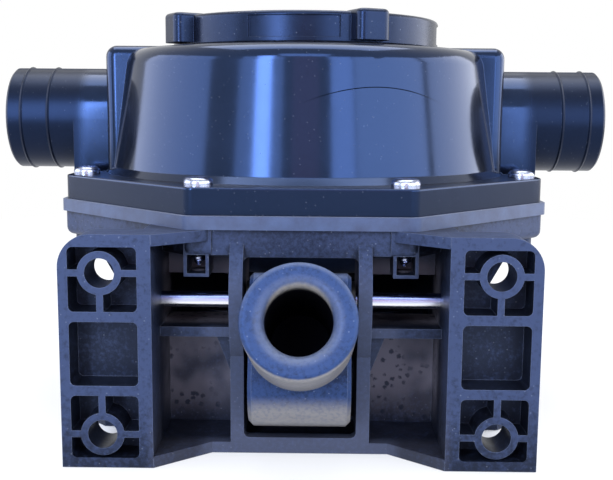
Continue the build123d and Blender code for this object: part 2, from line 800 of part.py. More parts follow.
def valve_seat(face_x, outward):
    """A seat ring with a cross bar, pushed into a partition's port."""
    back_x = face_x - outward * partition_thick
    lip_x = face_x + outward * seat_lip
    body_x = sorted((back_x, face_x))
    lip_range = sorted((face_x, lip_x))
    ring = crosswise(seat_r, body_x[0], body_x[1], 0, tail_z)
    ring += crosswise(seat_lip_r, lip_range[0], lip_range[1], 0, tail_z)
    whole = sorted((back_x - outward * overrun, lip_x + outward * overrun))
    bore = crosswise(seat_bore_r, whole[0], whole[1], 0, tail_z)
    ring -= bore
    full = sorted((back_x, lip_x))
    bar = block(full[0], full[1], -seat_bar / 2, seat_bar / 2, tail_z - seat_r, tail_z + seat_r)
    bar += block(full[0], full[1], -seat_r, seat_r, tail_z - seat_bar / 2, tail_z + seat_bar / 2)
    bar &= crosswise(seat_r - edge_round, full[0], full[1], 0, tail_z)
    return ring + bar


def valve_flap(face_x, outward):
    """A rubber flap that hangs from its hinge pin against a seat."""
    near = face_x + outward * (seat_lip + flap_gap)
    far = near + outward * flap_thick
    reach = sorted((near, far))
    disc = crosswise(flap_r, reach[0], reach[1], 0, tail_z)
    neck = block(reach[0], reach[1], -flap_knuckle_half, flap_knuckle_half, tail_z, flap_pin_z)
    centre_x = (near + far) / 2
    knuckle = along_depth(flap_knuckle_r, -flap_knuckle_half, flap_knuckle_half, centre_x, flap_pin_z)
    body = disc + neck + knuckle
    return body - along_depth(flap_pin_r + running_gap, -flap_pin_half, flap_pin_half, centre_x, flap_pin_z)


def flap_pin(face_x, outward):
    """The thin steel pin that a flap swings on."""
    centre_x = face_x + outward * (seat_lip + flap_gap + flap_thick / 2)
    return along_depth(flap_pin_r, -flap_pin_half, flap_pin_half, centre_x, flap_pin_z)


# Fasteners

def flange_screw(x, y):
    """One pan-head self-tapping screw of the flange."""
    shank_low = flange_top - screw_length
    shank = upright(screw_r, shank_low + screw_tip, flange_top, x, y)
    tip = Pos(x, y, shank_low + screw_tip / 2) * Cone(edge_round / 2, screw_r, screw_tip)
    head = upright(screw_head_r, flange_top, flange_top + screw_head_height, x, y)
    rim = head.edges().sort_by(Axis.Z)[-1]
    head = fillet(rim, screw_head_round)
    top = flange_top + screw_head_height
    cut = block(x - screw_recess_length / 2, x + screw_recess_length / 2, y - screw_recess_width / 2,
                y + screw_recess_width / 2, top - screw_recess_depth, top + overrun)
    cut += Pos(x, y, 0) * Rot(0, 0, 90) * Pos(-x, -y, 0) * cut
    return shank + tip + (head - cut)


def flange_screws():
    """The eight flange screws, one group of separate solids."""
    return Compound(children=[flange_screw(x, y) for x, y in screw_places()])


def pivot_shaft():
    """The stainless shaft that the lever rocks on, grooved for its clips."""
    rod = crosswise(shaft_r, -shaft_half, shaft_half, -pivot_back, pivot_z)
    start = ear_inner + ear_inner_wall + shaft_clip_gap
    groove = crosswise(shaft_r + overrun, start, start + shaft_clip_thick, -pivot_back, pivot_z)
    groove -= crosswise(shaft_groove_r, start, start + shaft_clip_thick, -pivot_back, pivot_z)
    return rod - both_sides(groove)


def shaft_clips():
    """The clips at the shaft's two ends, outside the bay walls."""
    start = ear_inner + ear_inner_wall + shaft_clip_gap
    right = clip_ring(shaft_clip_r, shaft_groove_r, shaft_clip_mouth, start,
                      start + shaft_clip_thick, -pivot_back, pivot_z)
    return Compound(children=[right, mirror(right, about=Plane.YZ)])


# Lever and drive

def lever_block():
    """The lever's block, which fills the slot between the cheeks."""
    corners = [lever_point(-block_face, block_top), lever_point(-block_face, -block_bottom),
               lever_point(-block_back, -block_bottom), lever_point(-block_back, block_top)]
    face = make_face(Polyline(*corners, close=True))
    rounds = (block_top_round, block_front_round, block_back_round, block_top_round)
    for corner, radius in zip(corners, rounds):
        vertex = face.vertices().sort_by_distance((corner[0], corner[1], 0))[0]
        face = fillet(vertex, radius)
    slab = Pos(-block_half, 0, 0) * extrude(Plane.YZ * face, 2 * block_half)
    front_edges = slab.edges().filter_by(Axis.X, reverse=True)
    return chamfer(front_edges, block_side_round)


def on_socket(start, end, radius, end_radius=None):
    """A cylinder or cone on the socket's axis between two depths behind its mouth."""
    middle = lever_point(-(start + end) / 2, 0)
    place = Pos(0, middle[0], middle[1]) * Rot(90 - socket_lean, 0, 0)
    if end_radius is None:
        return place * Cylinder(radius, end - start)
    return place * Cone(end_radius, radius, end - start)


def socket_flare():
    """The ring whose rounded inside gives the socket's mouth its lead-in."""
    ring_r = socket_bore_r + socket_mouth_round
    place = Pos(0, -socket_mouth, socket_mouth_z) * Rot(90 - socket_lean, 0, 0)
    return place * Pos(0, 0, -socket_mouth_round) * Torus(ring_r, socket_mouth_round)


def lever_arm():
    """The lever's arm, which runs back to the drive pin and ends in a slotted eye."""
    far = arm_slot_far + arm_end_wall
    points = [arm_point(0, arm_half_height), arm_point(arm_eye_start, arm_half_height),
              arm_point(arm_slot_near, arm_eye_half), arm_point(far - arm_eye_half / 2, arm_eye_half),
              arm_point(far, arm_eye_half / 2), arm_point(far, -arm_eye_half / 2),
              arm_point(far - arm_eye_half / 2, -arm_eye_half), arm_point(arm_slot_near, -arm_eye_half),
              arm_point(arm_eye_start, -arm_half_height), arm_point(0, -arm_half_height)]
    bar = side_slab(points, -arm_half_width, arm_half_width)
    half = pin_r + arm_slot_gap
    near_centre = arm_point(arm_slot_near + half, 0)
    far_centre = arm_point(arm_slot_far - half, 0)
    slot = side_slab([arm_point(arm_slot_near + half, half), arm_point(arm_slot_far - half, half),
                      arm_point(arm_slot_far - half, -half), arm_point(arm_slot_near + half, -half)],
                     -arm_half_width - overrun, arm_half_width + overrun)
    for centre in (near_centre, far_centre):
        slot += crosswise(half, -arm_half_width - overrun, arm_half_width + overrun, centre[0], centre[1])
    return bar - slot


def rocker_lever():
    """The lever: handle socket, block on the pivot and slotted arm, in one piece."""
    tube = on_socket(0, block_face + block_front_round, socket_r)
    mouth_edge = tube.edges().sort_by(Axis.Y)[0]
    tube = fillet(mouth_edge, socket_edge_round)
    body = tube + lever_block() + lever_arm()
    bore = on_socket(0, socket_bore_depth, socket_bore_r)
    flare = on_socket(0, socket_mouth_round, socket_bore_r + socket_mouth_round) - socket_flare()
    body -= bore + flare
    seat = crosswise(bush_r + running_gap, block_half - bush_length, block_half + overrun, -pivot_back, pivot_z)
    body -= both_sides(seat)
    return body - crosswise(shaft_r + lever_shaft_gap, -block_half, block_half, -pivot_back, pivot_z)


def lever_bush():
    """The right-hand flanged bush between the lever and its shaft."""
    start = block_half - bush_length
    bush = crosswise(bush_r, start, block_half, -pivot_back, pivot_z)
    bush += crosswise(bush_flange_r, block_half, block_half + bush_flange_thick, -pivot_back, pivot_z)
    return bush - crosswise(shaft_r + running_gap, start - overrun, block_half + bush_flange_thick + overrun,
                            -pivot_back, pivot_z)


def drive_pin():
    """The pin that joins the lever's slotted eye to the yoke."""
    rod = crosswise(pin_r, -pin_half, pin_half, 0, pin_z)
    start = yoke_inner + yoke_thick + pin_clip_gap
    groove = crosswise(pin_r + overrun, start, start + pin_clip_thick, 0, pin_z)
    groove -= crosswise(pin_groove_r, start, start + pin_clip_thick, 0, pin_z)
    return rod - both_sides(groove)


def drive_pin_clips():
    """The clips at both ends of the drive pin."""
    start = yoke_inner + yoke_thick + pin_clip_gap
    right = clip_ring(pin_clip_r, pin_groove_r, pin_clip_mouth, start, start + pin_clip_thick, 0, pin_z)
    return Compound(children=[right, mirror(right, about=Plane.YZ)])


def diaphragm():
    """The rubber diaphragm: an octagonal clamped rim and a rolling cup down to its hub."""
    half = sheet_thick / 2
    low = sheet_z - half
    high = sheet_z + half
    outline = [(bolt_r + running_gap, low), (sheet_hub_r, low), (sheet_roll_r, rim_low),
               (dome_base_r - dome_wall, rim_low), (dome_base_r - dome_wall, rim_high),
               (sheet_rim_inner_r, rim_high), (sheet_hub_r - sheet_thick, high), (bolt_r + running_gap, high)]
    face = make_face(Polyline(*outline, close=True))
    for corner in (outline[1], outline[2], outline[5], outline[6]):
        vertex = face.vertices().sort_by_distance((corner[0], corner[1], 0))[0]
        face = fillet(vertex, sheet_round / 2)
    cup = revolve(Plane.XZ * face, Axis.Z)
    rim = octagon(flange_across + 2 * rim_overhang, flange_corner_r, rim_low, rim_high)
    rim -= upright(well_r, rim_low - overrun, rim_high + overrun)
    return drill_screws(cup + rim, screw_hole_r, rim_low - overrun, rim_high + overrun)


def diaphragm_top_plate():
    """The clamp plate on the pumped side of the diaphragm."""
    low = sheet_z + sheet_thick / 2
    plate = upright(top_plate_r, low, low + plate_thick)
    plate = fillet(plate.edges().group_by(Axis.Z)[-1], plate_round)
    return plate - upright(bolt_r + running_gap, low - overrun, low + plate_thick + overrun)


def diaphragm_bottom_plate():
    """The clamp plate on the dry side, with the two yoke lugs for the drive pin."""
    high = sheet_z - sheet_thick / 2
    low = high - plate_thick
    plate = upright(plate_r, low, high)
    plate = fillet(plate.edges().group_by(Axis.Z)[0], plate_round)
    lug_points = [(-yoke_root_half, low + edge_round), (-yoke_eye_r, pin_z), (yoke_eye_r, pin_z),
                  (yoke_root_half, low + edge_round)]
    lug = side_slab(lug_points, yoke_inner, yoke_inner + yoke_thick)
    lug += crosswise(yoke_eye_r, yoke_inner, yoke_inner + yoke_thick, 0, pin_z)
    lug -= crosswise(pin_r + running_gap, yoke_inner - overrun, yoke_inner + yoke_thick + overrun, 0, pin_z)
    plate += both_sides(lug)
    return plate - upright(bolt_r + running_gap, low - overrun, high + overrun)


def hexagon(width, z0, z1):
    """An upright hexagonal prism with flats facing X."""
    outline = RegularPolygon(width / 2 / math.cos(math.pi / 6), 6, rotation=30)
    return Pos(0, 0, z0) * extrude(outline, z1 - z0)


def centre_bolt():
    """The hexagon bolt through the diaphragm's hub."""
    seat = sheet_z + sheet_thick / 2 + plate_thick + washer_thick
    low = sheet_z - bolt_below_sheet
    return hexagon(bolt_head_width, seat, seat + bolt_head_height) + upright(bolt_r, low, seat)


def centre_washer():
    """The washer under the bolt's head."""
    low = sheet_z + sheet_thick / 2 + plate_thick
    ring = upright(washer_r, low, low + washer_thick)
    return ring - upright(bolt_r + running_gap, low - overrun, low + washer_thick + overrun)


def centre_nut():
    """The nut between the yoke lugs."""
    high = sheet_z - sheet_thick / 2 - plate_thick
    nut = hexagon(nut_width, high - nut_height, high)
    return nut - upright(bolt_r + running_gap, high - nut_height - overrun, high + overrun)


bush = lever_bush()
parts = bracket_sections()
parts |= {
    "pump_chamber": pump_chamber(),
    "flange_screws": flange_screws(),
    "inspection_cover": inspection_cover(),
    "cover_seal": cover_seal(),
    "inlet_valve_seat": mirror(valve_seat(inlet_face, -1), about=Plane.YZ),
    "outlet_valve_seat": valve_seat(outlet_face, 1),
    "inlet_valve_flap": mirror(valve_flap(inlet_face, -1), about=Plane.YZ),
    "outlet_valve_flap": valve_flap(outlet_face, 1),
    "inlet_flap_pin": mirror(flap_pin(inlet_face, -1), about=Plane.YZ),
    "outlet_flap_pin": flap_pin(outlet_face, 1),
    "pivot_shaft": pivot_shaft(),
    "shaft_clips": shaft_clips(),
    "rocker_lever": rocker_lever(),
    "lever_bush_right": bush,
    "lever_bush_left": mirror(bush, about=Plane.YZ),
    "drive_pin": drive_pin(),
    "drive_pin_clips": drive_pin_clips(),
    "diaphragm": diaphragm(),
    "diaphragm_top_plate": diaphragm_top_plate(),
    "diaphragm_bottom_plate": diaphragm_bottom_plate(),
    "centre_bolt": centre_bolt(),
    "centre_washer": centre_washer(),
    "centre_nut": centre_nut(),
}

os.makedirs("parts", exist_ok=True)
for name, shape in parts.items():
    export_step(shape, f"parts/{name}.step")
    print(name, round(shape.volume), "mm3")
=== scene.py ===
import math

import bmesh
import bpy
from mathutils import Matrix, Vector
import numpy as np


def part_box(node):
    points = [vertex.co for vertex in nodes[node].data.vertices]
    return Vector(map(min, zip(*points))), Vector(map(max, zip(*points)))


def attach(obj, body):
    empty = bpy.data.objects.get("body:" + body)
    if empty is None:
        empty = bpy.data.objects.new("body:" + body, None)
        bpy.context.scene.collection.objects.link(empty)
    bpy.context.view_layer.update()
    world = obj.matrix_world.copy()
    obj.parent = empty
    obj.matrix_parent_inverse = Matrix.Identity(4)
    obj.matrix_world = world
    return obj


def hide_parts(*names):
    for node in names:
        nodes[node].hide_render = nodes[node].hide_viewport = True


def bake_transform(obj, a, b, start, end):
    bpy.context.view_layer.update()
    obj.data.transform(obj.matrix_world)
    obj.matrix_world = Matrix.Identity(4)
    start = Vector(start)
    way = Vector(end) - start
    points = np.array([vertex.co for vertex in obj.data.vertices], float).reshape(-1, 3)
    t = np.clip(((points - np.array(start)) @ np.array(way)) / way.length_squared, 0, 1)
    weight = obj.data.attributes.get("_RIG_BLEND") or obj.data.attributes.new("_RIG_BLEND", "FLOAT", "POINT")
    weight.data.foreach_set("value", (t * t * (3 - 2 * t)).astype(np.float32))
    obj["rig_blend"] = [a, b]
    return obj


# %% [markdown]
# # A hand-operated diaphragm pump
# This lesson dresses a finished CAD model. It gives every part a real material, adds the rolling
# part of the diaphragm and the screws' threads, and then sets up a pale floor, soft studio light
# and a camera. Lengths are in metres, X runs to the right, Y runs away from the camera and Z
# runs up.

# %% Load the frame
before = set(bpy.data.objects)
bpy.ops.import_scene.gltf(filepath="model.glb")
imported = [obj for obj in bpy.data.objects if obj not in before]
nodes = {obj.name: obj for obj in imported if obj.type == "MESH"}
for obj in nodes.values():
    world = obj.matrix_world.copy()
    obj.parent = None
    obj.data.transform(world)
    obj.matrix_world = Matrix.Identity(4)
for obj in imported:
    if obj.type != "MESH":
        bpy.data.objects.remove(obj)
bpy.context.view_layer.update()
scene = bpy.context.scene
MM = 0.001

# %% [markdown]
# ## Colours and shader nodes
# Colours are written as sRGB hex text, because that is how they are picked from a swatch.
# The shader wants linear light, so one function converts them. The other functions each add one
# kind of shader node, so that a material reads as a list of steps.


# %% Colour and node helpers
def colour(hex_text):
    """Linear RGBA of an sRGB hex colour."""
    channels = [int(hex_text[i:i + 2], 16) / 255 for i in (1, 3, 5)]
    linear = [c / 12.92 if c <= 0.04045 else ((c + 0.055) / 1.055) ** 2.4 for c in channels]
    return (*linear, 1.0)


def grey(value):
    """An RGBA grey for ramps that steer roughness or height."""
    return (value, value, value, 1.0)


def add_node(tree, kind, inputs=None, **settings):
    """Adds a shader node, sets its settings, and sets or links its inputs."""
    node = tree.nodes.new(kind)
    for key, value in settings.items():
        setattr(node, key, value)
    for key, value in (inputs or {}).items():
        socket = node.inputs[key]
        if isinstance(value, bpy.types.NodeSocket):
            tree.links.new(value, socket)
        else:
            socket.default_value = value
    return node


def new_material(name):
    """An empty node material with its output; returns material, tree and output node."""
    material = bpy.data.materials.new(name)
    material.use_nodes = True
    tree = material.node_tree
    tree.nodes.clear()
    return material, tree, tree.nodes.new("ShaderNodeOutputMaterial")


def ramp(tree, factor, stops):
    """A colour ramp through (position, colour) stops."""
    node = add_node(tree, "ShaderNodeValToRGB", {"Fac": factor})
    elements = node.color_ramp.elements
    while len(elements) < len(stops):
        elements.new(0.5)
    for element, (position, rgba) in zip(elements, stops):
        element.position = position
        element.color = rgba
    return node.outputs["Color"]


def mix(tree, factor, first, second, kind="FLOAT"):
    """Goes from the first value to the second as the factor goes from 0 to 1.

    The node has its own sockets for each kind of value: numbers, vectors and colours."""
    first_input, result = {"FLOAT": (2, 0), "VECTOR": (4, 1), "RGBA": (6, 2)}[kind]
    node = add_node(tree, "ShaderNodeMix",
                    {0: factor, first_input: first, first_input + 1: second}, data_type=kind)
    return node.outputs[result]


def noise(tree, place, size_mm, detail, roughness=0.5):
    """Cloudy noise from 0 to 1 whose patches are about size_mm wide."""
    return add_node(tree, "ShaderNodeTexNoise",
                    {"Vector": place, "Scale": 1 / (size_mm * MM), "Detail": detail,
                     "Roughness": roughness}).outputs["Fac"]


def cells(tree, place, size_mm):
    """The distance to the nearest of scattered points that lie about size_mm apart."""
    return add_node(tree, "ShaderNodeTexVoronoi",
                    {"Vector": place, "Scale": 1 / (size_mm * MM)}).outputs["Distance"]


def bump(tree, height, strength, distance_mm, normal=None):
    """A normal that is tilted as if the surface had this height."""
    inputs = {"Height": height, "Strength": strength, "Distance": distance_mm * MM}
    if normal is not None:
        inputs["Normal"] = normal
    return add_node(tree, "ShaderNodeBump", inputs).outputs["Normal"]


def object_place(tree):
    """The point in the object's own frame."""
    return add_node(tree, "ShaderNodeTexCoord").outputs["Object"]


def apart(tree, vector):
    """The X, Y and Z of a vector."""
    return add_node(tree, "ShaderNodeSeparateXYZ", {"Vector": vector}).outputs


def upwardness(tree):
    """How far a face of the object looks up: 1 is straight up and -1 straight down."""
    return apart(tree, add_node(tree, "ShaderNodeTexCoord").outputs["Normal"])["Z"]


# %% [markdown]
# ## Masks
# A mask is a grey value from 0 to 1 that says where a finish applies. Most masks are bands: they
# rise smoothly between two places along an axis. Several masks are multiplied to keep only what
# they share.


# %% Masks
def maths(tree, operation, first, second=0.0, clamp=False):
    """One arithmetic step."""
    node = add_node(tree, "ShaderNodeMath", {0: first, 1: second}, operation=operation)
    node.use_clamp = clamp
    return node.outputs[0]


def product(tree, *values):
    """All the values multiplied."""
    result = values[0]
    for value in values[1:]:
        result = maths(tree, "MULTIPLY", result, value)
    return result


def size_of(tree, value):
    """A value without its sign."""
    return maths(tree, "ABSOLUTE", value)


def band(tree, value, start, end):
    """A smooth mask that is 0 up to start and 1 from end on; the two may be swapped."""
    node = add_node(tree, "ShaderNodeMapRange", {"Value": value}, interpolation_type="SMOOTHSTEP")
    low, high = min(start, end), max(start, end)
    node.inputs["From Min"].default_value = low
    node.inputs["From Max"].default_value = high
    node.inputs["To Min"].default_value = 0.0 if start < end else 1.0
    node.inputs["To Max"].default_value = 1.0 if start < end else 0.0
    return node.outputs["Result"]


def band_mm(tree, value, start_mm, end_mm):
    """A band between two places in millimetres."""
    return band(tree, value, start_mm * MM, end_mm * MM)


def steer(tree, shader, name, value):
    """Links a value to one of the shader's inputs."""
    tree.links.new(value, shader.inputs[name])


def paint_over(tree, shader, mask, hex_text):
    """Lays another colour over a shader's base colour where the mask is white."""
    under = shader.inputs["Base Color"].links[0].from_socket
    steer(tree, shader, "Base Color", mix(tree, mask, under, colour(hex_text), "RGBA"))


# %% [markdown]
# ## Moulded plastic
# Injection-moulded parts are never perfectly even. A slow noise varies the colour a little, as
# pigment and handling do, and a fine one gives it tooth. The grain of the mould tilts the surface.
# Faces in pockets, which see little sky, are painted darker than open faces, as painted shade.
# Edges catch a little more: they are found where the true normal differs from a slightly rounded
# one. A sparse speckle is dust. A pair of numbers in brackets is a band: where it starts and where
# it is full.

# %% Moulded plastic
EDGE_RADIUS = 0.35 * MM
SHARP_EDGE = (0.995, 0.8)
JOIN_REACH_MM = (0.7, 0.5)
OPEN_SKY = (0.5, 0.97)
SLOW_TONE_MM, FINE_TONE_MM = 24, 1.3
SLOW_SHARE, FINE_SHARE = 1.0, 3.0
DUST_SPACING_MM, FLECK_MIDDLE, FLECK_EDGE = 2.2, 0.05, 0.12
WIPED_PATCH_MM, WIPED_GLOSS, HANDLED_GLOSS = 9, 0.86, 1.2
GRAIN_STRENGTH = 0.6


def rounded_normal(tree, place, true_normal, joins_mm):
    """The normal with its edges slightly rounded, but not at the heights in joins_mm."""
    rounded = add_node(tree, "ShaderNodeBevel", {"Radius": EDGE_RADIUS}, samples=4)
    rounded = rounded.outputs["Normal"]
    height = apart(tree, place)["Z"]
    for join in joins_mm:
        off_join = size_of(tree, maths(tree, "SUBTRACT", height, join * MM))
        on_join = band_mm(tree, off_join, *JOIN_REACH_MM)
        rounded = mix(tree, on_join, rounded, true_normal, "VECTOR")
    return rounded


def painted_shade_tone(tree, place, shade_colour, open_face, reach_mm, dust):
    """Painted shade colour in pockets, open_face colour on open faces, both uneven, with flecks of dust."""
    # Faces that see little sky are painted towards the dark colour here: painted shade in pockets.
    sky = add_node(tree, "ShaderNodeAmbientOcclusion", {"Distance": reach_mm * MM}, samples=6)
    slow = noise(tree, place, SLOW_TONE_MM, 4.0, 0.6)
    fine = noise(tree, place, FINE_TONE_MM, 5.0, 0.7)
    shift = maths(tree, "ADD", product(tree, slow, SLOW_SHARE), product(tree, fine, FINE_SHARE))
    shift = maths(tree, "SUBTRACT", shift, (SLOW_SHARE + FINE_SHARE) / 2)
    seen_sky = band(tree, sky.outputs["AO"], *OPEN_SKY)
    openness = maths(tree, "ADD", seen_sky, shift, clamp=True)
    tone = ramp(tree, openness, [(0.0, colour(shade_colour)), (1.0, colour(open_face))])
    fleck = ramp(tree, cells(tree, place, DUST_SPACING_MM),
                 [(FLECK_MIDDLE, grey(dust)), (FLECK_EDGE, grey(0.0))])
    return mix(tree, fleck, tone, colour("#9aa0ab"), "RGBA")


def moulded_plastic(name, shade_colour, open_face, shine, rough, grain_mm, grain_height_mm,
                    ior=1.5, dust=0.0, wear=0.0, reach_mm=16.0, joins_mm=()):
    """Black plastic with an uneven tone, painted shade in pockets, moulded grain, worn edges and a tinted
    shine.

    reach_mm is how far a face looks for walls that hide the sky. joins_mm are heights at which
    two solids of one moulding meet, where no edge may show."""
    material, tree, output = new_material(name)
    place = object_place(tree)
    true_normal = add_node(tree, "ShaderNodeNewGeometry").outputs["True Normal"]
    soft_normal = rounded_normal(tree, place, true_normal, joins_mm)
    gloss = ramp(tree, noise(tree, place, WIPED_PATCH_MM, 4.0, 0.6),
                 [(0.3, grey(rough * WIPED_GLOSS)), (0.75, grey(rough * HANDLED_GLOSS))])
    grain = noise(tree, place, grain_mm, 2.0)
    shader = add_node(tree, "ShaderNodeBsdfPrincipled", {
        "Base Color": painted_shade_tone(tree, place, shade_colour, open_face, reach_mm, dust),
        "Roughness": gloss,
        "Normal": bump(tree, grain, GRAIN_STRENGTH, grain_height_mm, soft_normal)})
    shader.inputs["IOR"].default_value = ior
    shader.inputs["Specular Tint"].default_value = colour(shine)
    tree.links.new(shader.outputs["BSDF"], output.inputs["Surface"])
    agree = add_node(tree, "ShaderNodeVectorMath", {0: soft_normal, 1: true_normal},
                     operation="DOT_PRODUCT").outputs["Value"]
    edge = product(tree, band(tree, agree, *SHARP_EDGE), wear)
    paint_over(tree, shader, edge, "#7d879c")
    return material, tree, shader


# %% [markdown]
# ## Stainless steel
# Screws, shaft and clips are bright stainless steel. Fine drawn lines come from a noise that is
# stretched along the part. The shaft and pins also get a painted reflection, set by which way each face
# looks.

# %% Stainless steel
DRAWN_LINE_MM, LINE_DEPTH_MM, LINE_STRENGTH = 0.25, 0.01, 0.25


def stainless_steel(name, stretch, painted_reflection=False):
    """Bright steel with fine drawn lines along the axes where stretch is small.

    Where asked, its colour is a painted reflection set by which way a face looks: near white facing
    down, pale facing aside, and darker and bluer facing up."""
    material, tree, output = new_material(name)
    drawn = add_node(tree, "ShaderNodeMapping",
                     {"Vector": object_place(tree), "Scale": stretch}).outputs["Vector"]
    lines = noise(tree, drawn, DRAWN_LINE_MM, 3.0)
    tone = ramp(tree, lines, [(0.3, colour("#8289a0")), (0.7, colour("#b2b8cf"))])
    gloss = ramp(tree, lines, [(0.3, grey(0.17)), (0.7, grey(0.28))])
    shader = add_node(tree, "ShaderNodeBsdfPrincipled",
                      {"Base Color": tone, "Roughness": gloss,
                       "Normal": bump(tree, lines, LINE_STRENGTH, LINE_DEPTH_MM)})
    shader.inputs["Metallic"].default_value = 1.0
    if painted_reflection:
        # Painted reflection: pale where a face looks down or aside, darker and bluer where it looks up.
        up_share = maths(tree, "ADD", product(tree, upwardness(tree), 0.5), 0.5)
        reflection_tone = ramp(tree, up_share, [(0.32, colour("#f2f2f5")), (0.5, colour("#bcc0da")),
                                     (0.65, colour("#808bb8")), (0.85, colour("#606c98"))])
        steer(tree, shader, "Base Color", reflection_tone)
    tree.links.new(shader.outputs["BSDF"], output.inputs["Surface"])
    return material


# %% [markdown]
# ## Rubber
# The diaphragm, flaps and seal are dark nitrile rubber: matt, with a bloom that pales it in
# patches and a slight sheen at grazing angles.

# %% Rubber
BLOOM_PATCH_MM, RUBBER_GRAIN_MM, RUBBER_GRAIN_DEPTH_MM = 7, 0.4, 0.03


def rubber(name, base, bloom, rough):
    """Matt rubber with patches of pale bloom."""
    material, tree, output = new_material(name)
    place = object_place(tree)
    tone = ramp(tree, noise(tree, place, BLOOM_PATCH_MM, 5.0, 0.65),
                [(0.35, colour(base)), (0.7, colour(bloom))])
    grain = noise(tree, place, RUBBER_GRAIN_MM, 2.0)
    shader = add_node(tree, "ShaderNodeBsdfPrincipled",
                      {"Base Color": tone,
                       "Normal": bump(tree, grain, 0.5, RUBBER_GRAIN_DEPTH_MM)})
    shader.inputs["Roughness"].default_value = rough
    shader.inputs["Sheen Weight"].default_value = 0.15
    shader.inputs["Sheen Roughness"].default_value = 0.5
    tree.links.new(shader.outputs["BSDF"], output.inputs["Surface"])
    return material


# %% [markdown]
# ## The bracket's nylon
# The bracket is matt glass-filled nylon. A pale film of dirt lies on the back walls of its two
# bays, with dark pits in it. The cheeks beside the slot and the strip below them are given a paler colour.
# The bracket is one moulding made of several solids, so the heights where they meet are given.
# The bands are in millimetres, and each is named after where it lies.

# %% The bracket's nylon
bracket_nylon, tree, shader = moulded_plastic(
    "Glass-filled nylon", shade_colour="#07080d", open_face="#29324a", shine="#aabff2", rough=0.45,
    grain_mm=0.5, grain_height_mm=0.03, dust=0.2, wear=0.3, reach_mm=28.0,
    joins_mm=(3.5, 56.5, 67.8))
BEHIND_BAY_EDGE, BEFORE_BAY_BACK, ABOVE_FOOT = (-80, -70), (-58, -62), (2, 20)
BETWEEN_EARS, WITHIN_EARS, CHEEKS = (47, 45), (47, 43), (33, 28)
UNDER_DECK, UNDER_LEDGE, UNDER_SHAFT, STRIP_TOP = (62, 56), (54, 50), (62, 52), (30, 6)
FRONT_OF_CHEEKS, FRONT_OF_STRIP = (-78, -84), (-78, -86)
EAR_SHARE = 0.4

place = object_place(tree)
x, y, z = apart(tree, place)
aside = size_of(tree, x)
patches = noise(tree, place, 16, 2.0)
ragged = product(tree, noise(tree, place, 0.8, 3.0), 0.5)
blots = maths(tree, "ADD", cells(tree, place, 2.9), ragged)

between_ears = band_mm(tree, aside, *BETWEEN_EARS)
bay_depth = product(tree, band_mm(tree, y, *BEHIND_BAY_EDGE), band_mm(tree, y, *BEFORE_BAY_BACK))
in_bay = maths(tree, "ADD", product(tree, between_ears, 1 - EAR_SHARE), EAR_SHARE)
haze = product(tree, bay_depth, band_mm(tree, z, *ABOVE_FOOT), in_bay,
               band_mm(tree, z, *UNDER_DECK), band(tree, patches, 0.2, 0.6))
pits = product(tree, band(tree, blots, 0.62, 0.44), bay_depth, band(tree, patches, 0.42, 0.54),
               band_mm(tree, z, *UNDER_LEDGE), between_ears)
cheeks = product(tree, band_mm(tree, aside, *CHEEKS), band_mm(tree, y, *FRONT_OF_CHEEKS),
                 band_mm(tree, z, *UNDER_SHAFT))
low_front = product(tree, band_mm(tree, z, *STRIP_TOP), band_mm(tree, y, *FRONT_OF_STRIP),
                    band_mm(tree, aside, *WITHIN_EARS))
for mask, strength, hex_text in ((haze, 0.9, "#6b666c"), (pits, 0.85, "#08080c"),
                                 (cheeks, 0.27, "#5a6279"), (low_front, 0.1, "#6e6c74")):
    paint_over(tree, shader, product(tree, mask, strength), hex_text)

# %% [markdown]
# ## The casing's plastic
# The casing is a glossy moulding. Its hose tails are satin, because hoses have rubbed them, and
# its top faces are duller, because dust settles there. One dark hairline scratch curves across the
# dome: it lies at a height that falls away on both sides of its middle.

# %% The casing's plastic
casing_gloss, tree, shader = moulded_plastic(
    "Gloss casing plastic", shade_colour="#07090e", open_face="#0b0f19", shine="#84adff", rough=0.13,
    grain_mm=0.9, grain_height_mm=0.003, ior=1.65, dust=0.1, wear=0.12)
FULL_SPECULAR, DULLED = 0.5, 0.6
TAIL_ROUGHNESS, TOP_ROUGHNESS = 0.34, 0.6
LOOKS_UP, TAILS_MM, ABOVE_FLANGE_MM = (0.93, 0.99), (80, 86), (80, 90)
SCRATCH_MIDDLE, SCRATCH_TOP, SCRATCH_DROP = math.radians(20), 115 * MM, 42 * MM
SCRATCH_HALF_MM, SCRATCH_ENDS = (0.22, 0.06), (math.radians(23), math.radians(9))

x, y, z = apart(tree, object_place(tree))
on_tails = band_mm(tree, size_of(tree, x), *TAILS_MM)
on_top = product(tree, band(tree, upwardness(tree), *LOOKS_UP),
                 band_mm(tree, z, *ABOVE_FLANGE_MM))
satin = mix(tree, on_tails, shader.inputs["Roughness"].links[0].from_socket, TAIL_ROUGHNESS)
steer(tree, shader, "Roughness", mix(tree, on_top, satin, TOP_ROUGHNESS))

turn_angle = maths(tree, "ARCTAN2", x, product(tree, y, -1.0))
swing = maths(tree, "SUBTRACT", turn_angle, SCRATCH_MIDDLE)
drop = product(tree, swing, swing, SCRATCH_DROP)
off_line = maths(tree, "SUBTRACT", maths(tree, "ADD", z, drop), SCRATCH_TOP)
scratch = product(tree, band_mm(tree, size_of(tree, off_line), *SCRATCH_HALF_MM),
                  band(tree, size_of(tree, swing), *SCRATCH_ENDS))
paint_over(tree, shader, scratch, "#000000")
dull = maths(tree, "MAXIMUM", product(tree, on_tails, DULLED), product(tree, on_top, DULLED))
dull = maths(tree, "MAXIMUM", dull, scratch)
steer(tree, shader, "Specular IOR Level", mix(tree, dull, FULL_SPECULAR, 0.0))

# %% [markdown]
# ## The cover's plastic
# The cover lies between the bracket and the casing in shine, and its top is dusty too.

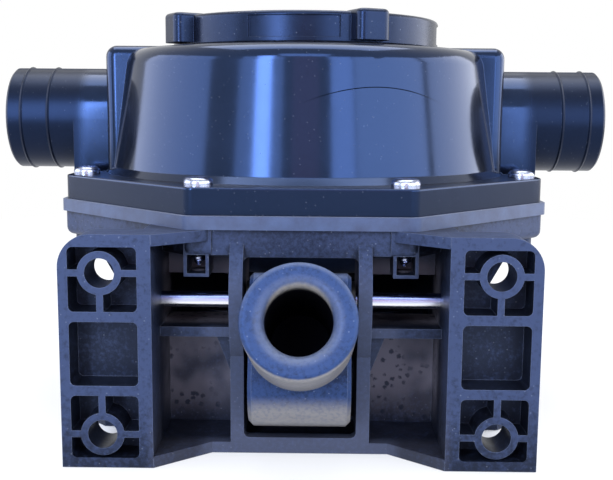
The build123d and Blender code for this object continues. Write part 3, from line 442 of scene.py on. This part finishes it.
# %% The cover's plastic
cover_gloss, tree, shader = moulded_plastic(
    "Cover plastic", shade_colour="#06070b", open_face="#0b101b", shine="#86a9f5", rough=0.27,
    grain_mm=0.6, grain_height_mm=0.006, dust=0.26, wear=0.05)
COVER_TOP_SPECULAR = 0.2
on_top = band(tree, upwardness(tree), *LOOKS_UP)
glossy = shader.inputs["Roughness"].links[0].from_socket
steer(tree, shader, "Roughness", mix(tree, on_top, glossy, TOP_ROUGHNESS))
steer(tree, shader, "Specular IOR Level", mix(tree, on_top, FULL_SPECULAR, COVER_TOP_SPECULAR))

# %% [markdown]
# ## The lever's nylon
# The lever is worn pale round the mouth of its socket, where the handle rubs. Its undersides get
# painted light from the pale floor below, and its upward faces a painted highlight, both mottled.
# The socket's inside gets painted shade: nearly black, with little shine. The socket leans,
# so a point's depth in it and its distance from its axis are worked out first.

# %% The lever's nylon
lever_nylon, tree, shader = moulded_plastic(
    "Lever nylon", shade_colour="#080c16", open_face="#223253", shine="#8aa9ee", rough=0.42,
    grain_mm=0.45, grain_height_mm=0.012, dust=0.2, wear=0.5)
MOUTH_Y, MOUTH_Z, LEAN = -121.5 * MM, 51.6 * MM, math.radians(22.5)
BORE_RADIUS_MM, BORE_DEPTH_MM = (10.0, 9.6), (2.0, 6.0)
LIP_RADIUS_MM, LIP_DEPTH_MM = (13.4, 11.4), (4.5, 2.0)
UNDERSIDES, UPPER_SIDES = (-0.05, -0.5), (0.3, 0.75)
LEAST_WEAR_AND_LIGHT, BORE_SPECULAR = 0.7, 0.05

place = object_place(tree)
x, y, z = apart(tree, place)
from_mouth = maths(tree, "SUBTRACT", y, MOUTH_Y)
from_axis = maths(tree, "SUBTRACT", z, MOUTH_Z)
depth = maths(tree, "SUBTRACT", product(tree, from_mouth, math.cos(LEAN)),
              product(tree, from_axis, math.sin(LEAN)))
rise = maths(tree, "ADD", product(tree, from_mouth, math.sin(LEAN)),
             product(tree, from_axis, math.cos(LEAN)))
radius = maths(tree, "SQRT", maths(tree, "ADD", product(tree, x, x), product(tree, rise, rise)))

# Painted shade: the inside of the socket is painted nearly black, and its shine is turned down further on.
painted_bore_shade = product(tree, band_mm(tree, radius, *BORE_RADIUS_MM),
                  band_mm(tree, depth, *BORE_DEPTH_MM))
# One mottle serves the real wear at the mouth and the painted light on the undersides and upper sides.
wear_and_light_mottle = band(tree, noise(tree, place, 1.1, 4.0), 0.3, 0.6)
wear_and_light_mottle = maths(tree, "ADD", product(tree, wear_and_light_mottle, 1 - LEAST_WEAR_AND_LIGHT), LEAST_WEAR_AND_LIGHT)
facing = upwardness(tree)
lip = product(tree, band_mm(tree, radius, *LIP_RADIUS_MM), band_mm(tree, depth, *LIP_DEPTH_MM),
              wear_and_light_mottle)
# Painted light: downward faces are painted pale, as lit from the floor below.
under = product(tree, band(tree, facing, *UNDERSIDES), wear_and_light_mottle)
# Painted highlight: upward faces are painted paler.
upper = product(tree, band(tree, facing, *UPPER_SIDES), wear_and_light_mottle)
# The lip is wear; the undersides' pale is painted floor light, the upper sides' a painted highlight, the
# bore's near-black painted shade.
for mask, strength, hex_text in ((lip, 0.24, "#6d7078"), (under, 0.9, "#716d66"),
                                 (upper, 0.3, "#6f7789"), (painted_bore_shade, 1.0, "#09090e")):
    paint_over(tree, shader, product(tree, mask, strength), hex_text)
steer(tree, shader, "Specular IOR Level", mix(tree, painted_bore_shade, FULL_SPECULAR, BORE_SPECULAR))

# %% [markdown]
# ## Assign the materials
# The inner plastics, the two steels and the rubber need no masks of their own. Each material then
# goes to the nodes made of it.

# %% Assign the materials
inner_nylon, tree, shader = moulded_plastic(
    "Valve and plate nylon", shade_colour="#141518", open_face="#232428", shine="#ffffff", rough=0.45,
    grain_mm=0.5, grain_height_mm=0.015)
bush_acetal, tree, shader = moulded_plastic(
    "Acetal bush", shade_colour="#101114", open_face="#1b1c20", shine="#ffffff", rough=0.4,
    grain_mm=0.5, grain_height_mm=0.01)
steel_crosswise = stainless_steel("Drawn stainless steel", (0.04, 1.0, 1.0), painted_reflection=True)
steel_turned = stainless_steel("Turned stainless steel", (1.0, 1.0, 0.6))
rim_rubber = rubber("Nitrile rubber", "#222f4d", "#314263", 0.5)

finishes = {
    bracket_nylon: ["bracket_deck", "bracket_well", "bracket_foot", "bracket_front",
                    "bracket_bay_right", "bracket_bay_left", "bracket_ear_right",
                    "bracket_ear_left"],
    casing_gloss: ["pump_chamber"],
    cover_gloss: ["inspection_cover"],
    lever_nylon: ["rocker_lever"],
    inner_nylon: ["inlet_valve_seat", "outlet_valve_seat", "diaphragm_top_plate",
                  "diaphragm_bottom_plate"],
    bush_acetal: ["lever_bush_right", "lever_bush_left"],
    steel_crosswise: ["pivot_shaft", "drive_pin", "inlet_flap_pin", "outlet_flap_pin"],
    steel_turned: ["flange_screws", "shaft_clips", "drive_pin_clips", "centre_bolt",
                   "centre_washer", "centre_nut"],
    rim_rubber: ["diaphragm", "cover_seal", "inlet_valve_flap", "outlet_valve_flap"],
}
for material, names in finishes.items():
    for name in names:
        slots = nodes[name].material_slots
        for slot in slots:
            slot.material = material
        if not slots:
            nodes[name].data.materials.append(material)

# %% [markdown]
# ## Rolling diaphragm
# The rubber's rim is clamped and its middle goes up and down with the plates, so the sheet between
# them rolls. The rim is the outer part of the solid. The cup is a revolved line that gets the
# sheet's thickness afterwards, and its many rings let it bend smoothly.

# %% Rolling diaphragm
SHARP_ANGLE = math.radians(35)
WELD = 0.001 * MM


def new_piece(name, shape, material):
    """An object of a finished shape, smooth but for its sharp edges, with its material."""
    mesh = bpy.data.meshes.new(name)
    shape.to_mesh(mesh)
    shape.free()
    for layer in [a for a in mesh.attributes if a.name == "custom_normal"]:
        mesh.attributes.remove(layer)
    mesh.shade_smooth()
    mesh.set_sharp_from_angle(angle=SHARP_ANGLE)
    mesh.materials.clear()
    mesh.materials.append(material)
    piece = bpy.data.objects.new(name, mesh)
    scene.collection.objects.link(piece)
    return piece


def clamped_rim(solid, inner):
    """The part of a solid outside a radius, closed by an inner wall."""
    shape = bmesh.new()
    shape.from_mesh(solid.data)
    bmesh.ops.remove_doubles(shape, verts=shape.verts, dist=WELD)
    core = [v for v in shape.verts if v.co.xy.length < inner]
    bmesh.ops.delete(shape, geom=core, context="VERTS")
    bmesh.ops.bridge_loops(shape, edges=[e for e in shape.edges if e.is_boundary])
    bmesh.ops.recalc_face_normals(shape, faces=shape.faces)
    return shape


def revolved_sheet(line, around):
    """A thin sheet from a line of (radius, height) points turned about Z."""
    shape = bmesh.new()
    angles = [2 * math.pi * k / around for k in range(around)]
    rings = [[shape.verts.new((radius * math.cos(a), radius * math.sin(a), height))
              for a in angles] for radius, height in line]
    for inside, outside in zip(rings, rings[1:]):
        for k in range(around):
            following = (k + 1) % around
            shape.faces.new((inside[k], outside[k], outside[following], inside[following]))
    return shape


SHEET_THICKNESS = 2.5 * MM
ROLL_RINGS, CUP_SIDES = 20, 120
hub_height, rim_height = 51.05 * MM, 73.4 * MM
bolt_hole, plate_edge = 4.2 * MM, 38.0 * MM
roll_start, roll_end = 41.6 * MM, 58.6 * MM
rim_bore, rim_overlap = 59.5 * MM, 1.0 * MM
cup_line = [(bolt_hole, hub_height), (plate_edge, hub_height)]
for ring in range(ROLL_RINGS + 1):
    along = ring / ROLL_RINGS
    eased = along * along * (3 - 2 * along)
    cup_line.append((roll_start + (roll_end - roll_start) * along,
                     hub_height + (rim_height - hub_height) * eased))
cup_line.append((rim_bore + rim_overlap, rim_height))
rim_piece = new_piece("diaphragm_rim", clamped_rim(nodes["diaphragm"], rim_bore), rim_rubber)
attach(rim_piece, "casing")
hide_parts("diaphragm")
cup_piece = new_piece("diaphragm_cup", revolved_sheet(cup_line, CUP_SIDES), rim_rubber)
sheet = cup_piece.modifiers.new("Sheet thickness", "SOLIDIFY")
sheet.thickness = SHEET_THICKNESS
sheet.offset = 0.0
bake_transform(cup_piece, "casing", "drive", start=(0, 0, rim_height), end=(0, 0, hub_height))
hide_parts("diaphragm")

# %% [markdown]
# ## Screw threads
# Each flange screw cuts its own thread in the plastic. The thread is a ridge wound round the
# shank, and it starts on the pointed tip, which shows in the open boxes under the deck. The screws
# stand at the corners of the flange, on a circle just inside them.

# %% Screw threads
THREAD_STEPS = 24
shank_radius, tip_length = 2.0 * MM, 2.2 * MM
thread_pitch, thread_height = 1.6 * MM, 0.45 * MM
ridge_half = 0.3 * thread_pitch
ROOT_SHARE = 0.9


def thread_ridge(shape, x, y, low, high):
    """Adds a ridge of triangular section that climbs round one screw."""
    rows = []
    for k in range(int((high - low) / thread_pitch * THREAD_STEPS) + 1):
        climb = k / THREAD_STEPS * thread_pitch
        turn_by = 2 * math.pi * k / THREAD_STEPS
        core_r = shank_radius * min(1.0, (climb + ridge_half) / tip_length)
        crest_r = core_r + thread_height * core_r / shank_radius
        section = [(core_r * ROOT_SHARE, -ridge_half), (crest_r, 0.0),
                   (core_r * ROOT_SHARE, ridge_half)]
        rows.append([shape.verts.new((x + r * math.cos(turn_by), y + r * math.sin(turn_by),
                                      low + climb + rise)) for r, rise in section])
    for below, above in zip(rows, rows[1:]):
        for a, b in ((0, 1), (1, 2), (2, 0)):
            shape.faces.new((below[a], above[a], above[b], below[b]))
    shape.faces.new(rows[0])
    shape.faces.new(rows[-1][::-1])


corner_angle = math.pi / 8
flange_half, screw_inset = 84.7 * MM, 7.28 * MM
screw_circle = flange_half / math.cos(corner_angle) - screw_inset
screw_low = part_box("flange_screws")[0][2]
tip_gap, thread_high = 0.3 * MM, 70 * MM
threads = bmesh.new()
for corner in range(8):
    angle = corner_angle + corner * math.pi / 4
    thread_ridge(threads, screw_circle * math.cos(angle), screw_circle * math.sin(angle),
                 screw_low + tip_gap, thread_high)
bmesh.ops.recalc_face_normals(threads, faces=threads.faces)
threads_piece = new_piece("screw_threads", threads, steel_turned)
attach(threads_piece, "casing")

# %% [markdown]
# ## Floor
# The pump stands on a plain pale floor. Its material is part diffuse, which keeps the shadow,
# and part plain white for the camera and for reflections, which keeps the background white. The
# white share grows with the distance. Under the pump it is none, so that the shade seen through
# the openings stays dark.


# %% Floor
def seen_directly(tree):
    """1 for camera, glossy and transmission rays, and 0 for all others."""
    rays = add_node(tree, "ShaderNodeLightPath").outputs
    seen = maths(tree, "MAXIMUM", rays["Is Camera Ray"], rays["Is Glossy Ray"])
    return maths(tree, "MAXIMUM", seen, rays["Is Transmission Ray"])


floor_half, floor_gap = 6.0, 0.2 * MM
WHITE_NEAR, WHITE_FAR, NEAR_SHARE = 0.18, 0.6, 0.6
BESIDE_X_MM, BESIDE_Y_MM = (60, 90), (70, 90)
floor_mesh = bpy.data.meshes.new("floor")
floor_mesh.from_pydata([(-floor_half, -floor_half, 0), (floor_half, -floor_half, 0),
                        (floor_half, floor_half, 0), (-floor_half, floor_half, 0)],
                       [], [(0, 1, 2, 3)])
floor = bpy.data.objects.new("floor", floor_mesh)
scene.collection.objects.link(floor)
floor.location.z = -floor_gap
floor_paint, tree, output = new_material("Pale floor")
place = object_place(tree)
away = add_node(tree, "ShaderNodeVectorMath", {0: place}, operation="LENGTH").outputs["Value"]
fade = add_node(tree, "ShaderNodeMapRange",
                {"Value": away, "From Min": WHITE_NEAR, "From Max": WHITE_FAR,
                 "To Min": NEAR_SHARE, "To Max": 1.0}).outputs["Result"]
x, y, _ = apart(tree, place)
beside_pump = maths(tree, "MAXIMUM", band_mm(tree, size_of(tree, x), *BESIDE_X_MM),
                    band_mm(tree, size_of(tree, y), *BESIDE_Y_MM))
white_share = product(tree, seen_directly(tree), fade, beside_pump)
matt = add_node(tree, "ShaderNodeBsdfDiffuse", {"Color": colour("#f4f4f4")})
white = add_node(tree, "ShaderNodeEmission", {"Color": colour("#ffffff"), "Strength": 1.0})
both = add_node(tree, "ShaderNodeMixShader",
                {0: white_share, 1: matt.outputs[0], 2: white.outputs[0]})
tree.links.new(both.outputs[0], output.inputs["Surface"])
floor_mesh.materials.append(floor_paint)

# %% [markdown]
# ## Light
# Soft boxes stand in a ring around the pump and overhead, as in a product studio. The glossy dome
# mirrors them, so each box is one of its bright bands. The world is white to the camera and to
# reflections, and dimmer for everything else.

# %% World and lamps
WORLD_DIM = 0.7
world = bpy.data.worlds.new("Studio")
scene.world = world
world.use_nodes = True
tree = world.node_tree
tree.nodes.clear()
dim = add_node(tree, "ShaderNodeBackground", {"Color": colour("#eef2fa"), "Strength": WORLD_DIM})
bright = add_node(tree, "ShaderNodeBackground", {"Color": colour("#ffffff"), "Strength": 1.0})
both = add_node(tree, "ShaderNodeMixShader",
                {0: seen_directly(tree), 1: dim.outputs[0], 2: bright.outputs[0]})
add_node(tree, "ShaderNodeOutputWorld", {"Surface": both.outputs[0]})


def softbox(name, place, aim, width, height, watts, tint):
    """A rectangular area lamp at a place, turned to face a point."""
    lamp = bpy.data.lights.new(name, "AREA")
    lamp.shape = "RECTANGLE"
    lamp.size = width
    lamp.size_y = height
    lamp.energy = watts
    lamp.color = colour(tint)[:3]
    holder = bpy.data.objects.new(name, lamp)
    holder.location = place
    holder.rotation_euler = (Vector(aim) - Vector(place)).to_track_quat("-Z", "Y").to_euler()
    scene.collection.objects.link(holder)


def ring_box(name, azimuth, reach, width, low, high, radiance, tint):
    """A softbox on a circle around the pump.

    Its azimuth counts in degrees from the camera's side, and low and high are its lower and
    upper edge. Its watts follow from its size and its radiance."""
    angle = math.radians(azimuth)
    middle_height = (low + high) / 2
    place = (reach * math.sin(angle), -reach * math.cos(angle), middle_height)
    watts = radiance * math.pi * width * (high - low)
    softbox(name, place, (0.0, 0.0, middle_height), width, high - low, watts, tint)


# Name, azimuth, reach, width, low, high, radiance and tint of each box in the ring.
ring_boxes = (
    ("left wall", -84, 1.0, 1.05, 0.05, 0.75, 3.2, "#e4ecff"),
    ("left core", -23, 0.95, 0.15, 0.08, 0.8, 19.0, "#d5e4ff"),
    ("left flank", -25, 1.0, 0.46, 0.06, 0.7, 3.0, "#e3ecff"),
    ("right strip", 21.5, 0.95, 0.22, 0.05, 0.7, 5.8, "#dfe9ff"),
    ("right wall", 51, 1.0, 0.8, 0.05, 0.75, 4.2, "#eef3ff"),
    ("right back wall", 101, 1.0, 0.9, 0.05, 0.75, 3.5, "#f4f5fa"),
    ("warm strip", 1, 0.95, 0.25, 0.05, 0.7, 0.85, "#ff9fae"),
)
for settings in ring_boxes:
    ring_box(*settings)
pump_middle = (0.0, 0.0, 0.09)
softbox("top softbox", (0.0, 0.15, 0.95), pump_middle, 0.9, 0.6, 6.5, "#ffffff")
softbox("front high fill", (0.0, -0.85, 0.85), pump_middle, 0.5, 0.3, 2.0, "#dfe9ff")

# %% [markdown]
# ## Camera
# The camera stands a little above the pump and looks down by about eight degrees. Its three
# angles turn it down, aside and about its own axis.

# %% Camera
camera_place = Vector((4.135, -367.731, 108.797)) * MM
pitch, yaw, roll = (math.radians(a) for a in (8.1465, 0.5057, 0.4559))
right = Vector((math.cos(yaw), math.sin(yaw), 0))
level = Vector((-math.sin(yaw), math.cos(yaw), 0))
upward = Vector((0, 0, 1))
forward = level * math.cos(pitch) - upward * math.sin(pitch)
top = upward * math.cos(pitch) + level * math.sin(pitch)
across = right * math.cos(roll) + top * math.sin(roll)
up = top * math.cos(roll) - right * math.sin(roll)
turn = Matrix((across, up, -forward)).transposed().to_4x4()
camera = bpy.data.cameras.new("camera")
camera.sensor_fit = "HORIZONTAL"
camera.sensor_width = 36.0
camera.lens = 54.84
camera.clip_start = 0.01
holder = bpy.data.objects.new("camera", camera)
holder.matrix_world = Matrix.Translation(camera_place) @ turn
scene.collection.objects.link(holder)
scene.camera = holder

# %% [markdown]
# ## Colour management
# The Standard view transform shows each colour about as it is written above.

# %% Colour management
scene.view_settings.view_transform = "Standard"
